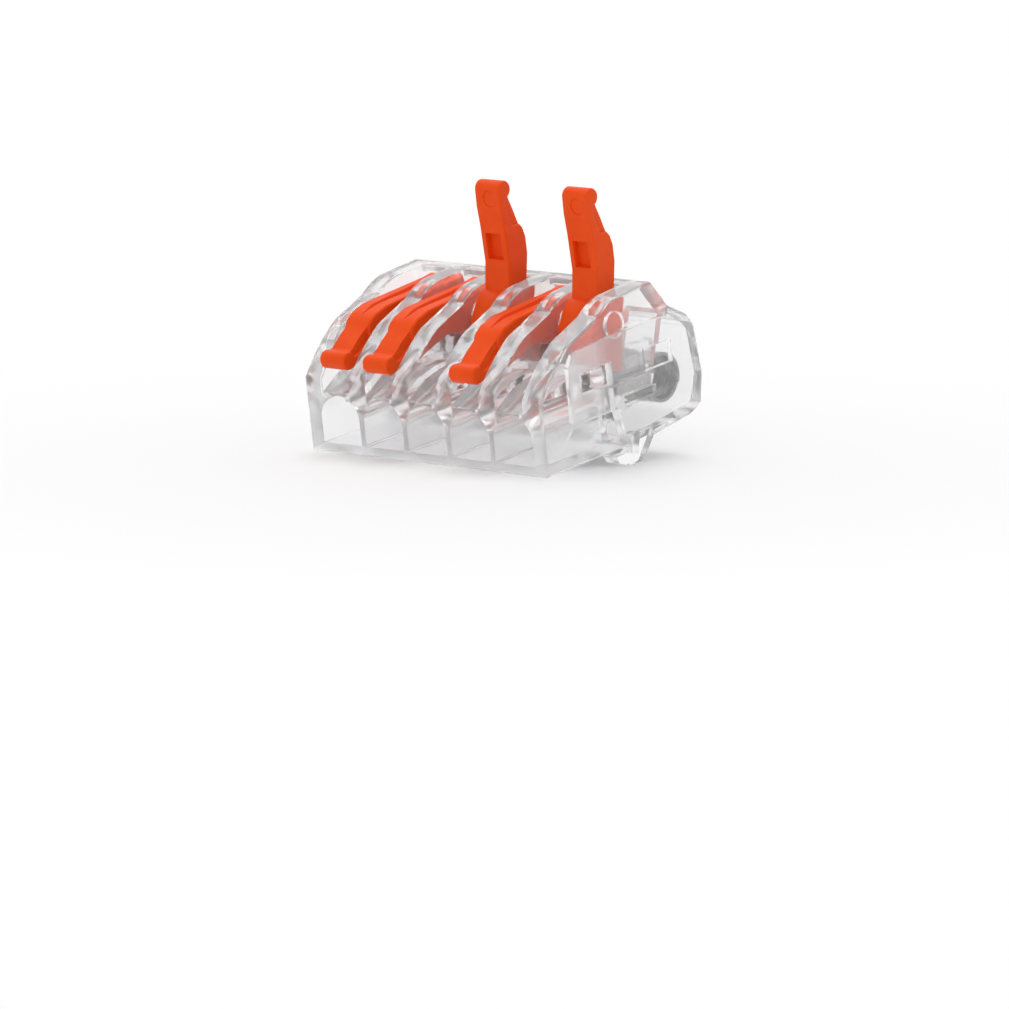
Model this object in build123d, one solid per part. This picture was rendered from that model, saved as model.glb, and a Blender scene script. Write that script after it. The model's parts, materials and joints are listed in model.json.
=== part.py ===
from build123d import *
import os
from math import acos, asin, atan2, cos, degrees, hypot, radians, sin, sqrt, tan

# Lever splicing connector for five wires, all sizes in millimetres.
#
# Every piece is drawn with the connector lying flat on its base. X runs along the row of poles,
# Y runs from the wire entries to the rear, and Z is up. The origin of that drawing is the bottom
# edge of the entry face, in the middle of the row. The whole assembly is then tipped onto the two
# feet below the cover, which is how the real connector stands on a table.

# ------------------------------------------------------------------------------------------------
# Row of poles
pole_count = 5
pole_pitch = 5.4
open_poles = (3, 5)              # levers that stand open, counted from the left
slot_width = 3.4                 # lever slot and clamp chamber
end_wall = 2.3                   # housing wall outside the first and the last slot
slack = 40.0                     # longer than any piece: reach of a cut that runs right through

# Front housing, seen end-on as (Y, Z)
entry_face_height = 7.2
nose_end = (5.0, 11.7)
nose_bulge = 0.32
roof_room = 0.43                 # between a closed lever and the underside of the roof
roof_end = 17.2
shoulder_foot_place = (9.0, 1.55)  # along Y, and how far it lies below the roof
shoulder_end_place = (12.8, 0.25)
shoulder_bulge = 0.35
roof_round = 0.5
roof_front = 15.5                # the lever slots are open on top ahead of this
roof_thickness = 0.75
rear_slope_wall = 0.9
skirt_gap = 0.1                  # between partitions and busbar
shelf_height = 5.95              # entry plate under the lever tips
shelf_slope_end = (2.6, 7.4)
slot_floor_start = 5.2
slot_floor_height = 8.0
chamber_rear = 20.5
chamber_corner = 0.3
housing_edge = 0.2               # rounding of the bottom front edge
side_edge = 0.3                  # rounding of the outer side edges
side_edge_start = 3.0            # height on the side from which they are rounded

# Wire entries
entry_width = 4.7
entry_height = 4.7
entry_depth = 8.9
entry_lead = 0.2
floor_thickness = 0.9
throat_length = 1.2
throat_radius = 1.6              # round hole that guides the bare conductor
throat_rim = 0.05                # top of the hole below the busbar tongue
funnel_length = 0.55

# Rear cover, seen end-on as (Y, Z)
parting_foot = 11.95             # foot of the parting line, on the base
parting_lean = 1.0               # the parting line leans forward by this on its way up
cover_gap = 0.05                 # assembly gap between housing and cover
cover_wall = 0.95
cover_side = 0.9
loop_room = 0.25                 # between the spring loops and the rear wall
heel_inset = (2.1, 0.7)          # how far ahead of the rear wall each corner lies, and its height
heel_top_inset = (0.6, 1.3)
rear_bulge_height = 4.3
rear_bulge_round = 1.5
rear_shoulder_inset = (0.65, 9.2)
rear_top_inset = (1.55, 10.3)
cover_lip = (19.35, 11.85)
cover_corner = 0.5               # rounding of the rear corners

# Side arms of the cover, with their snap windows
arm_front = 4.3
arm_bottom = 3.95
arm_top_front = (5.1, 10.6)
arm_top_rear = (18.9, 10.95)
arm_chamfer = 1.2
arm_corner = 0.3
arm_rise = 4.4                   # length over which the top edge of an arm still climbs
window_bottom = 6.4
window_height = 2.15
front_window = (5.9, 4.6)        # start along Y, and length
rear_window = (15.2, 4.0)
rear_window_depth = 0.5
lug_gap = 0.25
lug_ramp = 1.2
lug_foot = 0.2                   # height of the lug left at the end of its ramp
lug_corner = 0.2
lug_inset = 0.1
panel_step = 0.2                 # the side is set back by this below the arm
panel_edge = 0.1

# Feet under the cover
foot_width = 1.6
sole_radius = 5.0
sole_offset = 0.75               # depths in a foot are measured from the foot of the parting line
sole_centre_height = 3.1
sole_front = -0.65
sole_rear = 1.75
sole_heel = (2.5, -1.0)
foot_rear = (3.45, 0.1)
toe = (-2.2, -0.55)
toe_front = (-1.8, -1.25)
toe_throat = (-0.95, -0.55)
foot_eye = ((0.65, 0.9), (1.6, 0.9), (1.0, -0.95), (0.2, -0.8))

# Levers, seen end-on as (Y, Z) from the pivot
lever_width = 3.1
opening_angle = 104.5
pivot_depth = 12.37
pivot_height = 11.54
trunnion_radius = 1.25
trunnion_fit = 0.05              # radial running clearance in the bores
trunnion_length = 0.65
bore_depth = 0.75
bead_middle = (-11.75, -2.49)
bead_radius = 0.875
lever_edge = 0.25                # rounding along both sides of the lever
neck_angle = 53.0                # round the bead from the rear up to where the rib meets it
neck_round = 0.6                 # hollow between the bead and the rib
rib_width = 2.5
rib_top_front = (-9.77, -0.69)
step_foot = (-8.62, 0.04)
step_top = (-8.32, 0.51)
crown_front = (-7.47, 1.06)
crown = (-5.9, 1.5)
lever_top_front = (-4.17, 1.61)
lever_top_rear = (2.7, 1.93)
belly_front = (-9.97, -2.94)
belly_rise = (-8.12, -2.24)
belly_rear = (-4.81, -1.19)
belly_hub_height = -0.95         # where the underside runs into the hub
plate_thickness = 0.95
plate_run_out = 0.35             # added to its thickness where it meets the body
plate_run_in = 0.15              # how far behind the foot of the step it meets it
handle_root = 1.5                # length of the handle inside the body
groove_start = -7.9
groove_floor = (0.9, 0.55)       # height of its floor at the start and at the rear
groove_slant = 25.0              # of each wall of the V
pocket_front = -7.57
pocket_length = 2.55
pocket_width = 1.85
pocket_depth = 0.7
pad_mark_radius = 0.82
pad_mark_depth = 0.12
pad_mark_offset = (0.3, 0.95)    # from the middle of the bead: along the row, and rearwards
cam_gap = 0.06
cam_steps = 8

# Clamp springs, bent from stainless strip
strip_width = 3.0
strip_thickness = 0.35
loop_depth = 20.0
loop_height = 4.4
loop_radius = 2.4                # outside
leaf_rise = 15.5                 # slope of the leaf while its lever is closed
leg_gap = 1.6                    # from the throat wall to the middle of the window leg, lever closed
leg_bottom = 3.75
leg_bend = 0.6
leaf_window_width = 2.2
leaf_window_length = 3.65
leaf_window_corner = 0.15
loop_end = 60.0                  # angle round the loop where the coil stops
leaf_start = 62.0                # and where the flexing leaf takes over
contact_leg_gap = 1.2            # from the window leg to the front of the contact leg
contact_bend = 0.6

# Busbar
busbar_bottom = 4.7
busbar_thickness = 1.0
busbar_gap = 0.6                 # from the window leg to the front edge of the bar
busbar_rear_gap = 0.4            # from the rear edge to the bend of the springs
busbar_end_gap = 0.7             # to the side walls of the cover
busbar_seat = 0.02               # under the contact legs of the springs
tongue_width = 1.9
tongue_reach = 1.3               # how far a tongue reaches ahead of the window leg
tongue_lead = 0.25               # bevels on its front edge
tongue_clearance = 0.05          # between the tongue and the bar of the clamp window

# Ribs inside the cover
rib_thickness = 1.0
rib_setback = 0.25               # behind the foot of the parting line
rib_locator = 0.1                # gap between the busbar and the rib behind it
rib_lean = 0.8                   # how far the front of a rib leans back above the busbar
rib_top = 7.5
ledge_thickness = 0.7
ledge_width = 1.0

# ------------------------------------------------------------------------------------------------
# Derived sizes
pole_places = [(n - (pole_count - 1) / 2) * pole_pitch for n in range(pole_count)]
partition_places = [(a + b) / 2 for a, b in zip(pole_places, pole_places[1:])]
half_width = pole_places[-1] + slot_width / 2 + end_wall
housing_width = 2 * half_width
recess_face = half_width - cover_side - cover_gap
cavity_width = housing_width - 2 * cover_side

chamber_front = entry_depth + throat_length
leg_depth = chamber_front + leg_gap
contact_leg_front = leg_depth + contact_leg_gap
busbar_top = busbar_bottom + busbar_thickness
contact_leg_height = busbar_top + busbar_seat + strip_thickness / 2
loop_mid_radius = loop_radius - strip_thickness / 2
contact_bend_height = contact_leg_height - contact_bend
contact_bend_depth = loop_depth - sqrt(
    (loop_mid_radius + contact_bend) ** 2 - (contact_bend_height - loop_height) ** 2
)
busbar_front = leg_depth + busbar_gap
busbar_rear = contact_bend_depth - busbar_rear_gap
tongue_front = leg_depth - tongue_reach
skirt_rear = busbar_rear + skirt_gap

rib_front = parting_foot + rib_setback
rear_wall = loop_depth + loop_radius + loop_room + cover_wall
heel = (rear_wall - heel_inset[0], heel_inset[1])
heel_top = (rear_wall - heel_top_inset[0], heel_top_inset[1])
rear_bulge = (rear_wall, rear_bulge_height)
rear_shoulder = (rear_wall - rear_shoulder_inset[0], rear_shoulder_inset[1])
rear_top = (rear_wall - rear_top_inset[0], rear_top_inset[1])
sole_middle = (parting_foot + sole_offset, sole_centre_height)
partition_bottom = busbar_top + skirt_gap
throat_height = busbar_bottom - throat_rim - throat_radius
arch_radius = entry_width / 2
parting_top = parting_foot - parting_lean
swing_ratio = leaf_rise / opening_angle
roof_height = pivot_height + lever_top_rear[1] + roof_room + roof_thickness
roof_rear = (roof_end, roof_height)
shoulder_foot = (shoulder_foot_place[0], roof_height - shoulder_foot_place[1])
shoulder_end = (shoulder_end_place[0], roof_height - shoulder_end_place[1])


def inward(start, end, distance):
    """Step square to the run from start to end, to its right-hand side seen end-on."""
    across, up = end[0] - start[0], end[1] - start[1]
    length = hypot(across, up)
    return (distance * up / length, -distance * across / length)


def stand_angle():
    """Tilt at which the rounded front edge and the soles of the feet touch one flat surface."""
    along = sole_middle[0] - housing_edge
    up = sole_middle[1] - housing_edge
    return degrees(asin((sole_radius - housing_edge) / hypot(along, up)) - atan2(up, along))


def end_view(*corners):
    """Face seen end-on. A corner is (Y, Z), or (Y, Z, radius) where it is rounded."""
    face = make_face(Polyline(*[corner[:2] for corner in corners], close=True))
    for corner in corners:
        if len(corner) == 3:
            nearest = face.vertices().sort_by_distance((corner[0], corner[1], 0))[0]
            face = fillet(nearest, corner[2])
    return face


def slab(face, width, middle=0.0):
    """Solid of the given width along X from a face seen end-on."""
    return Pos(middle, 0, 0) * extrude(Plane.YZ.location * face, amount=width / 2, both=True)


def strip(path, middle):
    """Spring strip that follows a path seen end-on."""
    wire = Plane.YZ.location * Wire(path.edges())
    start = Plane(origin=wire @ 0, x_dir=(1, 0, 0), z_dir=wire % 0)
    return Pos(middle, 0, 0) * sweep(start * Rectangle(strip_width, strip_thickness), path=wire)


def turn(shape, angle, depth, height):
    """Turn a shape about an axis along X through (Y, Z). A positive angle lifts its rear."""
    return Pos(0, depth, height) * Rot(angle, 0, 0) * Pos(0, -depth, -height) * shape


# ------------------------------------------------------------------------------------------------
# Front housing
def lip_corners():
    """Rear edge of the housing along the front edge of the cover's sloping top wall."""
    step = inward(cover_lip, rear_top, cover_wall)
    inner = (cover_lip[0] - abs(step[0]), cover_lip[1] - abs(step[1]))
    back = inward(inner, cover_lip, cover_gap)
    return (inner[0] - back[0], inner[1] - back[1]), (cover_lip[0] - back[0], cover_lip[1] - back[1])


def housing_face():
    """Walls and partitions of the housing: base, parting line, rear slope, roof and nose."""
    lip_low, lip_high = lip_corners()
    lower = Polyline(
        (0, 0),
        (parting_foot - cover_gap, 0),
        (parting_top - cover_gap, arm_bottom),
        (parting_top - cover_gap, partition_bottom),
        (skirt_rear, partition_bottom),
        lip_low,
        lip_high,
        roof_rear,
        shoulder_end,
    )
    shoulder = SagittaArc(shoulder_end, shoulder_foot, -shoulder_bulge)
    brow = Line(shoulder_foot, nose_end)
    nose = SagittaArc(nose_end, (0, entry_face_height), -nose_bulge)
    face = make_face(lower + shoulder + brow + nose + Line((0, entry_face_height), (0, 0)))
    face = fillet(face.vertices().sort_by_distance((0, 0, 0))[0], housing_edge)
    return fillet(face.vertices().sort_by_distance((*roof_rear, 0))[0], roof_round)


def slot_face():
    """Lever slot, open above the lever, and the clamp chamber behind the throat."""
    slope_foot = lip_corners()[1]
    step = inward(slope_foot, roof_rear, rear_slope_wall)
    foot = (slope_foot[0] - step[0], slope_foot[1] - step[1])
    lean = (roof_rear[0] - slope_foot[0]) / (roof_rear[1] - slope_foot[1])
    ceiling = roof_rear[1] - roof_thickness
    return end_view(
        (-slack, shelf_height),
        (0, shelf_height),
        shelf_slope_end,
        (slot_floor_start, slot_floor_height),
        (chamber_front, slot_floor_height, chamber_corner),
        (chamber_front, floor_thickness),
        (chamber_rear, floor_thickness),
        (chamber_rear, foot[1] + (chamber_rear - foot[0]) / lean),
        (foot[0] + (ceiling - foot[1]) * lean, ceiling),
        (roof_front, ceiling),
        (roof_front, slack),
        (-slack, slack),
    )


def wire_entry(middle):
    """Arched tunnel for the insulated wire, with the funnel and round throat for the bare end."""
    spring_line = floor_thickness + entry_height - arch_radius
    arch = make_face(
        Polyline(
            (-arch_radius, spring_line),
            (-arch_radius, floor_thickness),
            (arch_radius, floor_thickness),
            (arch_radius, spring_line),
        )
        + RadiusArc((arch_radius, spring_line), (-arch_radius, spring_line), -arch_radius)
    )
    face_plane = Plane(origin=(middle, 0, 0), x_dir=(1, 0, 0), z_dir=(0, -1, 0))
    tunnel = extrude(face_plane * arch, amount=-entry_depth)
    mouth = tunnel.faces().sort_by(Axis.Y)[0]
    lead = extrude(offset(mouth, entry_lead), amount=-entry_lead, taper=45)
    funnel = Cone(throat_radius, throat_height - floor_thickness, funnel_length)
    throat = Cylinder(throat_radius, 3 * throat_length)
    along_wire = Pos(middle, entry_depth, throat_height) * Rot(90, 0, 0)
    return tunnel + lead + along_wire * Pos(0, 0, -funnel_length / 2) * funnel + along_wire * throat


def trunnion_bores(middle):
    """Blind bores that carry one lever, one in each side of its slot."""
    return Pos(middle, pivot_depth, pivot_height) * Rot(0, 90, 0) * Cylinder(
        trunnion_radius + trunnion_fit, slot_width + 2 * bore_depth
    )


def lug_face():
    """Catch lug that stands in the front window of an arm."""
    front, rear = front_window[0] + lug_gap, front_window[0] + front_window[1] - lug_gap
    low, high = window_bottom + lug_gap, window_bottom + window_height - lug_gap
    corners = ((front, low), (rear, low), (rear, high), (front, high))
    return end_view(*[(*corner, lug_corner) for corner in corners])


def catch_lug(side):
    """Lug on one end wall, with a ramp at its rear over which the arm slides on."""
    height = cover_side + cover_gap - lug_inset
    rear = front_window[0] + front_window[1] - lug_gap
    ramp = Polyline(
        (height / 2, rear - lug_ramp), (height / 2, rear), (lug_foot - height / 2, rear), close=True
    )
    lug = slab(lug_face(), height)
    lug -= Pos(0, 0, window_bottom) * extrude(make_face(ramp), amount=window_height)
    if side < 0:
        lug = mirror(lug, Plane.YZ)
    return Pos(side * (recess_face + height / 2), 0, 0) * lug


def make_front_housing():
    body = slab(housing_face(), housing_width)
    end_faces = body.faces().sort_by(Axis.X)[0].edges() + body.faces().sort_by(Axis.X)[-1].edges()
    body = fillet(end_faces.filter_by_position(Axis.Z, side_edge_start, slack), side_edge)
    for side in (-1, 1):
        recess = slab(offset(cover_side_face(), cover_gap), cover_side + cover_gap)
        body -= Pos(side * (recess_face + (cover_side + cover_gap) / 2), 0, 0) * recess
        body += catch_lug(side)
    for middle in pole_places:
        body -= slab(slot_face(), slot_width, middle)
        body -= wire_entry(middle)
        body -= trunnion_bores(middle)
    return body


# ------------------------------------------------------------------------------------------------
# Rear cover
def cover_outline():
    """Corners of the rear of the cover, from the parting line round the heel to the lip."""
    return (
        (parting_foot, 0),
        (parting_foot + foot_rear[0], foot_rear[1]),
        heel,
        (*heel_top, cover_corner),
        (*rear_bulge, rear_bulge_round),
        (*rear_shoulder, cover_corner),
        (*rear_top, cover_corner),
        cover_lip,
    )


def cover_side_face():
    """One side wall of the cover with its arm, which reaches forward beside the housing."""
    return end_view(
        *cover_outline(),
        arm_top_rear,
        (arm_front + arm_chamfer + arm_rise, arm_top_rear[1]),
        (*arm_top_front, arm_corner),
        (arm_front, arm_top_front[1] - arm_chamfer, arm_corner),
        (arm_front, arm_bottom, arm_corner),
        (parting_top, arm_bottom),
    )


def lower_side_face():
    """Side of the cover below the arm, which is set back from it."""
    return end_view(
        (0, arm_bottom),
        (parting_top, arm_bottom),
        rear_bulge,
        (slack, rear_bulge[1]),
        (slack, -slack),
        (0, -slack),
    )


def cover_cavity():
    """Space inside the cover, open to the housing at the front and on top."""
    outer = end_view(*cover_outline(), (cover_lip[0], slack), (-slack, slack), (-slack, 0))
    return offset(outer, -cover_wall, kind=Kind.INTERSECTION)


def from_parting(*corners):
    """Corners of the foot, moved back to the foot of the parting line."""
    return [(parting_foot + depth, height) for depth, height in corners]


def sole_point(depth):
    """Point of the rounded sole, this far behind the foot of the parting line."""
    return (depth, sole_centre_height - sqrt(sole_radius**2 - (depth - sole_offset) ** 2))


def foot_face():
    """Foot with a rounded sole, a toe that points forward and a leaning leg along the parting."""
    sole = from_parting(sole_point(sole_front), sole_point(sole_offset), sole_point(sole_rear))
    rest = from_parting(
        sole_point(sole_rear),
        sole_heel,
        foot_rear,
        (foot_rear[0], cover_wall),
        (-parting_lean * cover_wall / arm_bottom, cover_wall),
        (0, 0),
        toe_throat,
        toe,
        toe_front,
        sole_point(sole_front),
    )
    return make_face(ThreePointArc(*sole) + Polyline(*rest))


def inner_rib(middle):
    """Rib that carries the busbar and stands between two spring loops behind it."""
    face = end_view(
        (rib_front, cover_wall / 2),
        (rib_front, busbar_bottom),
        (busbar_rear + rib_locator, busbar_bottom),
        (busbar_rear + rib_locator, busbar_top - skirt_gap),
        (busbar_rear + rib_locator + rib_lean, rib_top),
        (rear_bulge[0] - cover_wall / 2, rib_top),
        (rear_bulge[0] - cover_wall / 2, rear_bulge[1]),
        (heel_top[0] - cover_wall / 2, heel_top[1]),
        (heel[0], cover_wall),
    )
    return slab(face, rib_thickness, middle)


def bar_ledge(side):
    """Ledge inside one end wall that carries the end of the busbar."""
    length = busbar_rear - rib_front
    ledge = Box(ledge_width, length, ledge_thickness)
    across = side * (cavity_width - ledge_width) / 2
    return Pos(across, rib_front + length / 2, busbar_bottom - ledge_thickness / 2) * ledge


def side_window(side, window, depth):
    """Cut for one window of an arm, this deep from the outside."""
    middle = Pos(side * half_width, window[0] + window[1] / 2, window_bottom + window_height / 2)
    return middle * Box(2 * depth, window[1], window_height)


def make_rear_cover():
    body = slab(cover_side_face(), housing_width)
    rear_edges = body.faces().sort_by(Axis.X)[0].edges() + body.faces().sort_by(Axis.X)[-1].edges()
    body = fillet(rear_edges.filter_by_position(Axis.Y, heel[0] - panel_edge, slack), cover_corner)
    for side in (-1, 1):
        body -= slab(lower_side_face(), 2 * panel_step, side * half_width)
    body -= slab(cover_cavity(), cavity_width)
    for side in (-1, 1):
        body += slab(foot_face(), foot_width, side * (half_width - foot_width / 2))
        body -= slab(end_view(*from_parting(*foot_eye)), 2 * foot_width, side * half_width)
        body += bar_ledge(side)
        body -= side_window(side, front_window, cover_side + cover_gap)
        body -= side_window(side, rear_window, rear_window_depth)
    for middle in partition_places:
        body += inner_rib(middle)
    return body


# ------------------------------------------------------------------------------------------------
# Busbar
def make_busbar():
    length = cavity_width - 2 * busbar_end_gap
    middle_height = busbar_bottom + busbar_thickness / 2
    bar = Box(length, busbar_rear - busbar_front, busbar_thickness)
    body = Pos(0, (busbar_front + busbar_rear) / 2, middle_height) * bar
    for middle in pole_places:
        tongue = Box(tongue_width, busbar_rear - tongue_front, busbar_thickness)
        tongue = chamfer(tongue.faces().sort_by(Axis.Y)[0].edges().filter_by(Axis.X), tongue_lead)
        body += Pos(middle, (tongue_front + busbar_rear) / 2, middle_height) * tongue
    return body


# ------------------------------------------------------------------------------------------------
# Springs
def make_spring(middle):
    """Contact leg on the busbar and the loop behind it, up to where the flexing leaf starts."""
    meet = degrees(atan2(contact_bend_height - loop_height, contact_bend_depth - loop_depth))
    leg = Line((contact_leg_front, contact_leg_height), (contact_bend_depth, contact_leg_height))
    bend = CenterArc((contact_bend_depth, contact_bend_height), contact_bend, 90, meet - 180 - 90)
    loop = CenterArc((loop_depth, loop_height), loop_mid_radius, meet, 360 + loop_end - meet)
    return strip(leg + bend + loop, middle)


def make_clamp_leaf(middle, pole):
    """Flexing leaf that rises to the window leg, which lifts the wire against the tongue."""
    slope = radians(leaf_rise)
    tangent = 90 - leaf_rise
    arc = CenterArc((loop_depth, loop_height), loop_mid_radius, leaf_start, tangent - leaf_start)
    start = (loop_depth + loop_mid_radius * sin(slope), loop_height + loop_mid_radius * cos(slope))
    corner = (leg_depth, start[1] + (start[0] - leg_depth) * sin(slope) / cos(slope))
    leaf = strip(arc + FilletPolyline(start, corner, (leg_depth, leg_bottom), radius=leg_bend), middle)
    window_low = busbar_bottom - tongue_clearance
    window = RectangleRounded(leaf_window_width, leaf_window_length, leaf_window_corner)
    window = Plane.XZ.location * Pos(middle, window_low + leaf_window_length / 2) * window
    leaf -= Pos(0, leg_depth, 0) * extrude(window, amount=leg_bend, both=True)
    if pole in open_poles:
        leaf = turn(leaf, leaf_rise, loop_depth, loop_height)
    return leaf


# ------------------------------------------------------------------------------------------------
# Levers
def cam_point(share):
    """Point of the cam that rests on the leaf when the lever has opened by this share."""
    slope = radians(leaf_rise * (1 - share))
    opened = radians(opening_angle * share)
    back = pivot_depth - loop_depth
    rise = pivot_height - loop_height
    reach = back * sin(slope) + rise * cos(slope) - loop_radius - cam_gap
    shift = (rise * sin(slope) - back * cos(slope)) * swing_ratio / (1 + swing_ratio)
    depth = shift * cos(slope) - reach * sin(slope)
    height = -shift * sin(slope) - reach * cos(slope)
    return (
        depth * cos(opened) - height * sin(opened),
        depth * sin(opened) + height * cos(opened),
    )


def hub_reach():
    """Distance from the pivot to the closed leaf, which is the radius of the hub."""
    slope = radians(leaf_rise)
    across = (pivot_depth - loop_depth) * sin(slope) + (pivot_height - loop_height) * cos(slope)
    return across - loop_radius - cam_gap


def bead_touch():
    """Point where the flat pad under the tip runs into the round of the bead."""
    along, up = belly_front[0] - bead_middle[0], belly_front[1] - bead_middle[1]
    angle = atan2(up, along) - acos(bead_radius / hypot(along, up))
    return (bead_middle[0] + bead_radius * cos(angle), bead_middle[1] + bead_radius * sin(angle))


def lever_side_face():
    """Full width of the lever: bead, plate of the handle, body behind the step, hub and cam."""
    radius = hub_reach()
    slope = radians(leaf_rise)
    hub_low = (-radius * sin(slope), -radius * cos(slope))
    hub_front = (-sqrt(radius**2 - belly_hub_height**2), belly_hub_height)
    middle = atan2(hub_low[1], hub_low[0]) / 2 + atan2(hub_front[1], hub_front[0]) / 2
    cam = [cam_point(n / cam_steps) for n in range(cam_steps + 1)]
    top = (lever_top_rear, lever_top_front, crown, crown_front, step_top, step_foot)
    plate = (
        (step_foot[0] + plate_run_in, belly_rise[1] + plate_thickness + plate_run_out),
        (belly_front[0], belly_front[1] + plate_thickness),
        bead_middle,
        bead_touch(),
    )
    face = make_face(
        Polyline(cam[-1], *top, *plate, belly_front, belly_rise, belly_rear, hub_front)
        + ThreePointArc(hub_front, (radius * cos(middle), radius * sin(middle)), hub_low)
        + Line(hub_low, cam[0])
        + Spline(*cam)
    )
    return face + Pos(*bead_middle) * Circle(bead_radius)


def handle_rib_face():
    """Narrower rib on the plate, which sweeps from the bead up to the step."""
    root = step_foot[0] + handle_root
    turned = radians(neck_angle)
    neck = (bead_middle[0] + bead_radius * cos(turned), bead_middle[1] + bead_radius * sin(turned))
    rib = end_view(
        bead_middle,
        (belly_front[0], belly_front[1] + plate_thickness / 2),
        (root, belly_rise[1] + plate_thickness),
        (root, step_foot[1]),
        step_foot,
        rib_top_front,
        neck,
    )
    face = rib + Pos(*bead_middle) * Circle(bead_radius)
    return fillet(face.vertices().sort_by_distance((*neck, 0))[0], neck_round)


def groove_section(depth, floor):
    """V across the lever at this depth, from its floor to above the top."""
    reach = lever_top_rear[1] + slot_width - floor
    half = reach * tan(radians(groove_slant))
    corners = Polyline((0, floor), (half, floor + reach), (-half, floor + reach), close=True)
    across = Plane(origin=(0, depth, 0), x_dir=(1, 0, 0), z_dir=(0, -1, 0))
    return (across * make_face(corners)).face()


def top_groove():
    """V groove along the top of the lever, which opens out towards the rear."""
    rear = groove_section(cam_point(1)[0] + cam_gap, groove_floor[1])
    return loft([rear, groove_section(groove_start, groove_floor[0])], ruled=True)


def pocket_box():
    """Blind pocket in the underside of the lever, square to the face it is sunk into."""
    along, up = belly_rear[0] - belly_rise[0], belly_rear[1] - belly_rise[1]
    middle = pocket_front + pocket_length / 2
    height = belly_rise[1] + (middle - belly_rise[0]) * up / along
    return Pos(0, middle, height) * Rot(degrees(atan2(up, along)), 0, 0) * Box(
        pocket_width, pocket_length, 2 * pocket_depth
    )


def pad_mark():
    """Shallow round mark in the flat pad under the tip."""
    touch = bead_touch()
    along, up = belly_front[0] - touch[0], belly_front[1] - touch[1]
    depth = bead_middle[0] + pad_mark_offset[1]
    height = touch[1] + (depth - touch[0]) * up / along
    return Pos(pad_mark_offset[0], depth, height) * Rot(degrees(atan2(up, along)), 0, 0) * Cylinder(
        pad_mark_radius, 2 * pad_mark_depth
    )


def make_lever(middle, pole):
    body = slab(lever_side_face(), lever_width)
    sides = body.faces().sort_by(Axis.X)[0].edges() + body.faces().sort_by(Axis.X)[-1].edges()
    body = fillet(sides, lever_edge) + slab(handle_rib_face(), rib_width)
    body += Rot(0, 90, 0) * Cylinder(trunnion_radius, lever_width + 2 * trunnion_length)
    body -= top_groove()
    body -= pocket_box()
    body -= pad_mark()
    body = Pos(middle, pivot_depth, pivot_height) * body
    if pole in open_poles:
        body = turn(body, -opening_angle, pivot_depth, pivot_height)
    return body


# ------------------------------------------------------------------------------------------------
# Assembly
def stand(shape):
    """Tip a piece onto the feet and centre the row on the surface it stands on."""
    tipped = Rot(stand_angle(), 0, 0) * shape
    return Pos(0, -stand_middle, -stand_height) * tipped


def make_pieces():
    pieces = {
        "front_housing": make_front_housing(),
        "rear_cover": make_rear_cover(),
        "busbar": make_busbar(),
    }
    for pole, middle in enumerate(pole_places, start=1):
        pieces[f"spring_{pole}"] = make_spring(middle)
        pieces[f"clamp_leaf_{pole}"] = make_clamp_leaf(middle, pole)
        pieces[f"lever_{pole}"] = make_lever(middle, pole)
    return pieces


pieces = make_pieces()
plastic = (pieces["front_housing"], pieces["rear_cover"])
boxes = [(Rot(stand_angle(), 0, 0) * piece).bounding_box() for piece in plastic]
stand_middle = (min(box.min.Y for box in boxes) + max(box.max.Y for box in boxes)) / 2
stand_height = min(box.min.Z for box in boxes)

os.makedirs("parts", exist_ok=True)
for name, piece in pieces.items():
    export_step(stand(piece), f"parts/{name}.step")
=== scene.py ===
import json
from math import atan2, cos, hypot, pi, radians, sin, tan

import bmesh
import bpy
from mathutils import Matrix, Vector


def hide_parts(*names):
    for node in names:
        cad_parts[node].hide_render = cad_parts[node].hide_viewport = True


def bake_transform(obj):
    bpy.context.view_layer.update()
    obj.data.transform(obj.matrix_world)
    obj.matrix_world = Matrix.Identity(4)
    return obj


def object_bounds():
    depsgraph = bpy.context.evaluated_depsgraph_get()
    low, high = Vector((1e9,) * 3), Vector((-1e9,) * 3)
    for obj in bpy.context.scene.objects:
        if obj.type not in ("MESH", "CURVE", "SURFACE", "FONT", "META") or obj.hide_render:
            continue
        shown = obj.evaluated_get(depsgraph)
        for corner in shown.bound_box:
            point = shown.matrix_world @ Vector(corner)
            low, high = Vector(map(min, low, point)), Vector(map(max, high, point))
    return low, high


# A lever splicing connector for five wires, standing nose down on its front edge and the two feet
# of its cover. The plastic pieces, the busbar and the spring loops keep the shape of the frame and
# get their finish here; the flexing leaves of the clamp springs are made again as bent strip.
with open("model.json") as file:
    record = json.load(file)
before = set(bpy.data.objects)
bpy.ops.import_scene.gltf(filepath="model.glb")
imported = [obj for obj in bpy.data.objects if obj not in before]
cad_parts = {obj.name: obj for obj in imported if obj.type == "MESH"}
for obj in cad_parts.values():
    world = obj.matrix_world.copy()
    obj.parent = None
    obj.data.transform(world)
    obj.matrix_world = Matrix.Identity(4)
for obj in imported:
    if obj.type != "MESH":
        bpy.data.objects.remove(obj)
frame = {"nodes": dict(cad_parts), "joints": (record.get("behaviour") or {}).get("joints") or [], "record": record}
nodes = frame["nodes"]
record = frame["record"]
frame_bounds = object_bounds()
mm = 0.001


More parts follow.
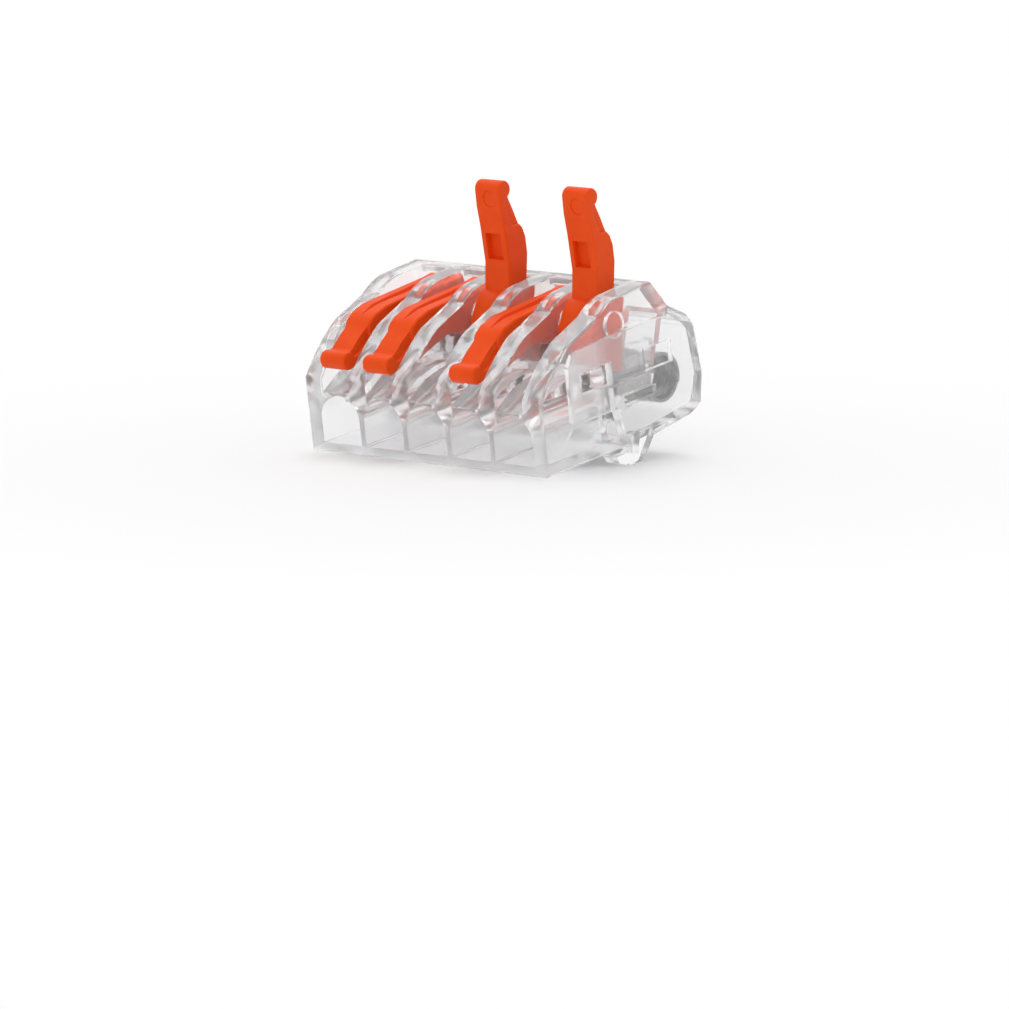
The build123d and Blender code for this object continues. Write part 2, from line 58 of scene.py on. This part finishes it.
# ------------------------------------------------------------------------------------------------
# Front housing. One clear polycarbonate moulding with the five wire tunnels, the lever slots and
# the partitions between them. It comes from a polished tool, so its faces are glossy, with faint
# flow ripples, and its edges are just broken.
class Value:
    """Output of a shader node. Arithmetic on it adds Math nodes to the same material."""

    def __init__(self, finish, socket):
        self.finish = finish
        self.socket = socket

    def maths(self, operation, *terms):
        return self.finish.node("ShaderNodeMath", {"operation": operation}, dict(enumerate(terms)))

    def __add__(self, other):
        return self.maths("ADD", self, other)

    def __sub__(self, other):
        return self.maths("SUBTRACT", self, other)

    def __rsub__(self, other):
        return self.maths("SUBTRACT", other, self)

    def __mul__(self, other):
        return self.maths("MULTIPLY", self, other)

    def __truediv__(self, other):
        return self.maths("DIVIDE", self, other)

    def __pow__(self, other):
        return self.maths("POWER", self, other)

    __radd__ = __add__
    __rmul__ = __mul__


class Finish:
    """A material and the nodes that make it."""

    def __init__(self, name, world=None):
        self.block = world or bpy.data.materials.new(name)
        self.block.use_nodes = True
        self.tree = self.block.node_tree
        self.tree.nodes.clear()

    def node(self, kind, settings=None, inputs=None, output=0):
        """Add a node: its settings are set first, then the values or links of its sockets."""
        node = self.tree.nodes.new(kind)
        for name, setting in (settings or {}).items():
            if name == "stops":
                fill_ramp(node.color_ramp, setting)
            else:
                setattr(node, name, setting)
        for name, term in (inputs or {}).items():
            if isinstance(term, Value):
                self.tree.links.new(term.socket, node.inputs[name])
            else:
                node.inputs[name].default_value = term
        return Value(self, node.outputs[output]) if len(node.outputs) else None

    def vector_maths(self, operation, *terms, output="Vector"):
        """The same as a value's arithmetic, for places and directions."""
        settings = {"operation": operation}
        return self.node("ShaderNodeVectorMath", settings, dict(enumerate(terms)), output)

    def position(self):
        """Place on the piece, in metres, which goes along with it when it moves."""
        return self.node("ShaderNodeTexCoord", output="Object")

    def noise(self, size, detail=2.0, stretch=(1, 1, 1)):
        """Noise from 0 to 1 whose blotches are about this size, longer where stretch is small."""
        inputs = {"Vector": self.position(), "Scale": stretch}
        place = self.node("ShaderNodeMapping", None, inputs)
        inputs = {"Vector": place, "Scale": 1 / size, "Detail": detail}
        return self.node("ShaderNodeTexNoise", None, inputs)

    def ramp(self, value, *stops):
        """Grey or colour for a value from 0 to 1, with the stops that fill_ramp takes."""
        return self.node("ShaderNodeValToRGB", {"stops": stops}, {"Fac": value})

    def blend_colours(self, share, first, second):
        """Colour that goes from the first to the second as the share goes from 0 to 1."""
        return self.node("ShaderNodeMix", {"data_type": "RGBA"}, {0: share, 6: first, 7: second}, 2)

    def bump(self, height, depth, under=None):
        """Normal of a surface whose height varies from 0 to this depth in metres."""
        inputs = {"Height": height, "Distance": depth, "Strength": 1.0}
        if under:
            inputs["Normal"] = under
        return self.node("ShaderNodeBump", None, inputs)

    def shader(self, **inputs):
        """Main shader of the material. Its sockets are named with underscores for spaces."""
        inputs = {name.replace("_", " "): term for name, term in inputs.items()}
        return self.node("ShaderNodeBsdfPrincipled", None, inputs)

    def mix(self, share, first, second):
        """Shader that goes from the first to the second as the share goes from 0 to 1."""
        return self.node("ShaderNodeMixShader", None, {0: share, 1: first, 2: second})

    def close(self, shader):
        """Give the material its finished shader."""
        self.node("ShaderNodeOutputMaterial", None, {"Surface": shader})
        return self.block


def fill_ramp(ramp, stops):
    """Give a colour ramp its stops: (place, grey) or (place, colour)."""
    while len(ramp.elements) < len(stops):
        ramp.elements.new(1.0)
    for element, (place, colour) in zip(ramp.elements, stops):
        element.position = place
        element.color = colour if isinstance(colour, tuple) else (colour, colour, colour, 1)


def clear_polycarbonate(name, ripple_size, satin_zone, satin_roughness, satin_haze):
    """Clear plastic with faint flow ripples, rougher and hazier in the satin zone of its mould."""
    finish = Finish(name)
    satin = satin_zone(finish)
    ripples = finish.noise(ripple_size, 1.0, stretch=(1, 0.6, 1))
    grain = finish.noise(mould_grain_size, 2.0)
    smears = finish.noise(smear_size, 3.0)
    normal = finish.bump(ripples, ripple_depth)
    normal = finish.bump(grain, mould_grain_depth, normal)
    polish = finish.ramp(smears, *polish_stops)
    plastic = finish.shader(
        Base_Color=finish.blend_colours(smears, clean_tint, smeared_tint),
        Roughness=polish + satin * satin_roughness,
        Transmission_Weight=1.0,
        IOR=polycarbonate_index,
        Normal=normal,
    )
    through = finish.node("ShaderNodeBsdfTranslucent", None, {"Color": haze_white})
    back = finish.node("ShaderNodeBsdfDiffuse", None, {"Color": haze_white})
    haze = finish.mix(haze_thrown_back, through, back)
    plastic = finish.mix(clear_haze + satin * satin_haze, plastic, haze)
    shadow_ray = finish.node("ShaderNodeLightPath", output="Is Shadow Ray")
    lit_through = finish.node("ShaderNodeBsdfTransparent", None, {"Color": shadow_tint})
    return finish.close(finish.mix(shadow_ray, plastic, lit_through))


def nearness(finish, direction, near, far):
    """1 up to the near distance from the entry edge in this direction, and 0 beyond the far one."""
    place = finish.vector_maths("SUBTRACT", finish.position(), entry_edge)
    distance = finish.vector_maths("DOT_PRODUCT", place, direction, output="Value")
    return finish.ramp(distance / zone_reach, (near / zone_reach, 1.0), (far / zone_reach, 0.0))


def tunnel_zone(finish):
    """1 round the wire tunnels, below the shelf and ahead of the clamps, and 0 elsewhere."""
    below_shelf = nearness(finish, upward, *satin_height)
    ahead_of_clamps = nearness(finish, rearward, *satin_depth)
    return below_shelf * ahead_of_clamps


def finish_node(node, material, edge):
    """Give a node of the frame its material and break its edges by this radius."""
    node.data.materials.clear()
    node.data.materials.append(material)
    soften_edges(node, edge)


def soften_edges(piece, edge):
    """Join the faces of a piece and round its sharp edges."""
    weld = piece.modifiers.new("weld", "WELD")
    weld.merge_threshold = weld_distance
    bevel = piece.modifiers.new("edges", "BEVEL")
    bevel.width = edge
    bevel.segments = edge_facets
    bevel.limit_method = "ANGLE"
    bevel.angle_limit = sharp_edge
    bevel.use_clamp_overlap = False
    bevel.loop_slide = False
    smooth = piece.modifiers.new("smooth", "WEIGHTED_NORMAL")
    smooth.keep_sharp = False


ripple_depth = 0.012 * mm
mould_grain_size = 0.12 * mm
mould_grain_depth = 0.0004 * mm
smear_size = 2.2 * mm
polish_stops = [(0.35, 0.02), (0.8, 0.08)]   # roughness, from untouched to smeared by fingers
clean_tint = (0.985, 0.985, 0.988, 1)
smeared_tint = (0.965, 0.968, 0.975, 1)
polycarbonate_index = 1.585
clear_haze = 0.08                # share of the light that a clear wall scatters
haze_thrown_back = 0.5           # and how much of that goes back the way it came
haze_white = (0.97, 0.97, 0.97, 1)
shadow_tint = (0.90, 0.90, 0.91, 1)
weld_distance = 0.001 * mm
mould_edge = 0.03 * mm           # radius of an edge that comes straight from the mould
edge_facets = 2
sharp_edge = radians(50)
zone_reach = 20 * mm
satin_height = (5 * mm, 6 * mm)              # the satin finish of the tunnels fades out between
satin_depth = (8.4 * mm, 10 * mm)            # these two heights, and these two depths
rearward = -Vector(record["mounts"][0]["axis"])
upward = Vector((1, 0, 0)).cross(rearward)
entry_edge = (0, frame_bounds[0].y, 0)
clear_housing = clear_polycarbonate(
    "clear_housing",
    ripple_size=3.0 * mm,
    satin_zone=tunnel_zone,
    satin_roughness=0.12,
    satin_haze=0.06,
)
finish_node(nodes["front_housing"], clear_housing, mould_edge)

# ------------------------------------------------------------------------------------------------
# Levers. Five alike, moulded in orange polyamide with a fine satin grain. Each turns on two short
# trunnions moulded on its sides, in blind bores of the housing.
pole_count = sum(name.startswith("lever_") for name in nodes)
poles = range(1, pole_count + 1)
light_orange = (0.89, 0.088, 0.007, 1)
deep_orange = (0.80, 0.064, 0.004, 1)
pigment_cloud_size = 1.6 * mm
lever_grain_size = 0.09 * mm
lever_grain_depth = 0.006 * mm
lever_roughness = [(0.3, 0.34), (0.7, 0.5)]  # from the hollows to the crests of the grain
lever_shine = 0.12


def orange_polyamide():
    """Orange with a slightly deeper tone here and there, and the fine grain of an eroded mould."""
    finish = Finish("orange_polyamide")
    clouds = finish.noise(pigment_cloud_size, 2.0)
    grain = finish.noise(lever_grain_size, 3.0)
    plastic = finish.shader(
        Base_Color=finish.blend_colours(clouds, light_orange, deep_orange),
        Roughness=finish.ramp(grain, *lever_roughness),
        Normal=finish.bump(grain, lever_grain_depth),
        Specular_IOR_Level=lever_shine,
    )
    return finish.close(plastic)


orange = orange_polyamide()
for pole in poles:
    finish_node(nodes[f"lever_{pole}"], orange, mould_edge)

# ------------------------------------------------------------------------------------------------
# Busbar. One flat copper bar with a tongue for each pole, stamped and then tinned, so it is a soft
# grey with faint streaks. It lies on the ribs of the cover.
dull_tin = (0.36, 0.355, 0.34, 1)
bright_tin = (0.46, 0.45, 0.43, 1)
streak_size = 0.5 * mm
streak_depth = 0.006 * mm
spangle_size = 0.2 * mm
tin_roughness = [(0.3, 0.22), (0.7, 0.4)]    # from bright to dull spangles
stamped_edge = 0.08 * mm


def tinned_copper():
    """Tin plating, streaked along the bar as it was rolled and finely spangled."""
    finish = Finish("tinned_copper")
    streaks = finish.noise(streak_size, 3.0, stretch=(0.15, 1, 1))
    spangle = finish.noise(spangle_size, 2.0)
    plating = finish.shader(
        Base_Color=finish.blend_colours(streaks, dull_tin, bright_tin),
        Metallic=1.0,
        Roughness=finish.ramp(spangle, *tin_roughness),
        Normal=finish.bump(streaks, streak_depth),
    )
    return finish.close(plating)


finish_node(nodes["busbar"], tinned_copper(), stamped_edge)

# ------------------------------------------------------------------------------------------------
# Clamp springs. Each is one strip of rolled stainless steel with a contact leg on the busbar, a
# loop behind it and a leaf whose window leg grips the wire. The leaf runs on from the loop without
# a break, so it is made as bent strip, bent as its lever stands.
strip_width = 3.0 * mm
strip_thickness = 0.35 * mm
strip_edge = 0.05 * mm
loop_radius = 2.4 * mm - strip_thickness / 2
loop_end = radians(60)           # turn round the loop at which the leaf begins to flex
leaf_rise = radians(15.5)        # slope of the leaf with its lever closed
leaf_straight = radians(90) - leaf_rise     # turn round the loop at which it runs straight
bend_steps = 8
leg_place = -8.3 * mm            # along the connector from the middle of the loop
leg_bottom = -0.65 * mm          # and up from it
leg_bend = 0.6 * mm
window_bottom = 0.25 * mm
window_length = 3.65 * mm
window_width = 2.2 * mm
bend_to_window = 0.01 * mm
dark_steel = (0.16, 0.16, 0.16, 1)
light_steel = (0.31, 0.305, 0.30, 1)
rolling_mark_size = 0.06 * mm
rolling_mark_depth = 0.003 * mm
steel_cloud_size = 0.9 * mm
steel_roughness = [(0.3, 0.2), (0.7, 0.34)]  # from the bright to the dull rolling marks


def spring_steel():
    """Bare steel strip with the fine marks of the rolls along it."""
    finish = Finish("spring_steel")
    rolling = finish.noise(rolling_mark_size, 2.0, stretch=(1, 0.04, 0.04))
    clouds = finish.noise(steel_cloud_size, 2.0)
    strip = finish.shader(
        Base_Color=finish.blend_colours(clouds, dark_steel, light_steel),
        Metallic=1.0,
        Roughness=finish.ramp(rolling, *steel_roughness),
        Normal=finish.bump(rolling, rolling_mark_depth),
    )
    return finish.close(strip)


def bend(middle, radius, first_turn, last_turn):
    """Places along a bend in the strip, as (along the connector, up) from the loop's middle."""
    turns = [
        first_turn + (last_turn - first_turn) * step / bend_steps
        for step in range(bend_steps + 1)
    ]
    return [(middle[0] + radius * cos(turn), middle[1] + radius * sin(turn)) for turn in turns]


def leaf_path():
    """Middle line of a leaf with its lever closed, from the loop to the end of its window leg."""
    path = bend((0, 0), loop_radius, loop_end, leaf_straight)
    start_along, start_up = path[-1]
    corner = start_up + (start_along - leg_place) * tan(leaf_rise)
    bend_turn = pi / 2 + leaf_rise
    bend_middle = (leg_place + leg_bend, corner - leg_bend * tan(bend_turn / 2))
    path += bend(bend_middle, leg_bend, leaf_straight, leaf_straight + bend_turn)
    window_top = min(window_bottom + window_length, bend_middle[1]) - bend_to_window
    return path + [(leg_place, up) for up in (window_top, window_bottom, leg_bottom)]


def leaf_strip(pole, steel):
    """Leaf and window leg of one pole, cut from strip and bent, as its lever stands."""
    joint_name = f"clamp_leaf_{pole}_flex"
    joint = next(joint for joint in frame["joints"] if joint["name"] == joint_name)
    pivot = Vector(joint["pos_m"])
    lowered = leaf_rise if joint["range_deg"][0] < 0 else 0.0
    places = []
    for along, up in leaf_path():
        turn = atan2(up, along)
        share = min(max((turn - loop_end) / (leaf_straight - loop_end), 0.0), 1.0)
        radius = hypot(along, up)
        turn += lowered * share
        places.append(pivot + rearward * radius * cos(turn) + upward * radius * sin(turn))
    shape = bmesh.new()
    columns = (-strip_width / 2, -window_width / 2, window_width / 2, strip_width / 2)
    rows = [[shape.verts.new(place + Vector((x, 0, 0))) for x in columns] for place in places]
    window = (len(rows) - 3, 1)  # the row and column that are cut out
    for row, (upper, lower) in enumerate(zip(rows, rows[1:])):
        for column in range(len(columns) - 1):
            if (row, column) != window:
                corners = (upper[column], upper[column + 1], lower[column + 1], lower[column])
                shape.faces.new(corners)
    mesh = bpy.data.meshes.new(f"clamp_leaf_strip_{pole}")
    shape.to_mesh(mesh)
    shape.free()
    piece = bpy.data.objects.new(mesh.name, mesh)
    bpy.context.collection.objects.link(piece)
    mesh.materials.append(steel)
    for polygon in mesh.polygons:
        polygon.use_smooth = True
    body = piece.modifiers.new("thickness", "SOLIDIFY")
    body.thickness = strip_thickness
    body.offset = 0
    soften_edges(piece, strip_edge)
    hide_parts(f"clamp_leaf_{pole}")
    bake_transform(piece)


steel = spring_steel()
for pole in poles:
    finish_node(nodes[f"spring_{pole}"], steel, strip_edge)
    leaf_strip(pole, steel)

# ------------------------------------------------------------------------------------------------
# Rear cover. The second clear polycarbonate moulding closes the housing from behind. Its two arms
# clip over the lugs of the housing, and the connector stands on its feet.
arm_end = (10 * mm, 12 * mm)     # the milky finish of the arms fades out between these depths


def arm_zone(finish):
    """1 on the arms as far back as their catch windows, and 0 behind them."""
    return nearness(finish, rearward, *arm_end)


clear_cover = clear_polycarbonate(
    "clear_cover",
    ripple_size=2.6 * mm,
    satin_zone=arm_zone,
    satin_roughness=0.04,
    satin_haze=0.22,
)
finish_node(nodes["rear_cover"], clear_cover, mould_edge)

# ------------------------------------------------------------------------------------------------
# Table. A flat sheet of white paper that runs on behind the connector. It keeps the soft shadow, and
# goes over into plain white further out.
low, high = frame_bounds
middle = (low + high) / 2
table_reach = 3.0
shadow_reach = 80 * mm           # distance at which the paper has faded to white
shadow_core = 0.3                # share of that distance with no fade at all
through_plastic = 0.6            # how much whiter the near paper is through plastic or in metal
fibre_size = 0.4 * mm
paper_hollow = (0.87, 0.87, 0.87, 1)
paper_fibre = (0.90, 0.90, 0.90, 1)
plain_white = (1, 1, 1, 1)
bpy.ops.mesh.primitive_plane_add(size=2 * table_reach, location=(middle.x, middle.y, 0))
table = bpy.context.active_object
table.name = "table"


def white_paper():
    """Matt paper with short fibres near the connector, and plain white far from it."""
    finish = Finish("white_paper")
    fibres = finish.noise(fibre_size, 2.0)
    paper = finish.shader(
        Base_Color=finish.blend_colours(fibres, paper_hollow, paper_fibre),
        Roughness=0.7,
        Specular_IOR_Level=0.2,
    )
    white = finish.node("ShaderNodeEmission", None, {"Color": plain_white, "Strength": 1.0})
    distance = finish.vector_maths("LENGTH", finish.position(), output="Value")
    far = finish.ramp(distance / shadow_reach, (shadow_core, 0.0), (1.0, 1.0))
    seen = finish.node("ShaderNodeLightPath", output="Is Transmission Ray")
    seen = seen + finish.node("ShaderNodeLightPath", output="Is Glossy Ray")
    return finish.close(finish.mix(far + (1 - far) * seen * through_plastic, paper, white))


table.data.materials.append(white_paper())

# ------------------------------------------------------------------------------------------------
# Light tent. White round the table and overhead, a little greyer in between. A large soft lamp
# stands high behind the connector on the left, and a weaker one lower down in front of it.
wall_shades = [(0.0, 1.0), (0.12, 0.98), (0.35, 0.91), (0.6, 0.96), (1.0, 1.0)]
wall_glow = (0.66, 0.66, 0.66, 1)            # what lights the matt surfaces


def light_tent():
    """Shaded walls for clear and glossy surfaces to show, and plain white behind the table."""
    world = bpy.data.worlds.new("light_tent")
    bpy.context.scene.world = world
    finish = Finish("light_tent", world)
    place = finish.node("ShaderNodeTexCoord", output="Generated")
    height = finish.node("ShaderNodeSeparateXYZ", None, {"Vector": place}, "Z")
    walls = finish.ramp(height, *wall_shades)
    seen = finish.node("ShaderNodeLightPath", output="Is Glossy Ray")
    seen = seen + finish.node("ShaderNodeLightPath", output="Is Transmission Ray")
    colour = finish.blend_colours(seen, wall_glow, walls)
    camera_ray = finish.node("ShaderNodeLightPath", output="Is Camera Ray")
    colour = finish.blend_colours(camera_ray, colour, plain_white)
    background = finish.node("ShaderNodeBackground", None, {"Color": colour, "Strength": 1.0})
    finish.node("ShaderNodeOutputWorld", None, {"Surface": background})


def direction_of(azimuth, elevation):
    """Unit vector to a place seen from the connector; azimuth 0 is in front, 90 at the right."""
    level = cos(radians(elevation))
    return Vector(
        (
            sin(radians(azimuth)) * level,
            -cos(radians(azimuth)) * level,
            sin(radians(elevation)),
        )
    )


def soft_lamp(name, direction, distance, size, power):
    """Square lamp that looks at the middle of the connector."""
    lamp = bpy.data.lights.new(name, "AREA")
    lamp.size = size
    lamp.energy = power
    holder = bpy.data.objects.new(name, lamp)
    bpy.context.collection.objects.link(holder)
    holder.location = middle + direction * distance
    holder.rotation_euler = direction.to_track_quat("Z", "Y").to_euler()


light_tent()
above_left = direction_of(azimuth=-140, elevation=72)
in_front = direction_of(azimuth=10, elevation=35)
soft_lamp("key_lamp", above_left, distance=0.6, size=0.4, power=1.7)
soft_lamp("fill_lamp", in_front, distance=0.8, size=0.5, power=0.6)

# ------------------------------------------------------------------------------------------------
# Camera. It stands low in front of the right end of the row, far enough away that the row hardly
# tapers.
picture_width = 1009
sensor_width = 36.0
camera_distance = 634.5 * mm
aim = Vector((0, -2.763 * mm, 7.971 * mm))
picture_scale = 10.584 / mm      # parts of the picture width for each metre at the aim
shift_right = 19.86              # in the same parts
shift_down = 133.01
camera = bpy.data.cameras.new("camera")
camera.sensor_width = sensor_width
camera.lens = sensor_width * camera_distance * picture_scale / picture_width
camera.shift_x = shift_right / picture_width
camera.shift_y = -shift_down / picture_width
camera.clip_start = 0.01
camera.clip_end = 20.0
camera_holder = bpy.data.objects.new("camera", camera)
bpy.context.collection.objects.link(camera_holder)
towards_camera = direction_of(azimuth=41.19, elevation=7.24)
camera_holder.location = aim + towards_camera * camera_distance
camera_holder.rotation_euler = towards_camera.to_track_quat("Z", "Y").to_euler()
bpy.context.scene.camera = camera_holder
bpy.context.scene.view_settings.view_transform = "Standard"

# Light has to pass many clear walls one behind the other.
wall_bounces = 48
light_paths = bpy.context.scene.cycles
light_paths.max_bounces = wall_bounces
light_paths.transmission_bounces = wall_bounces
light_paths.glossy_bounces = wall_bounces
light_paths.transparent_max_bounces = wall_bounces
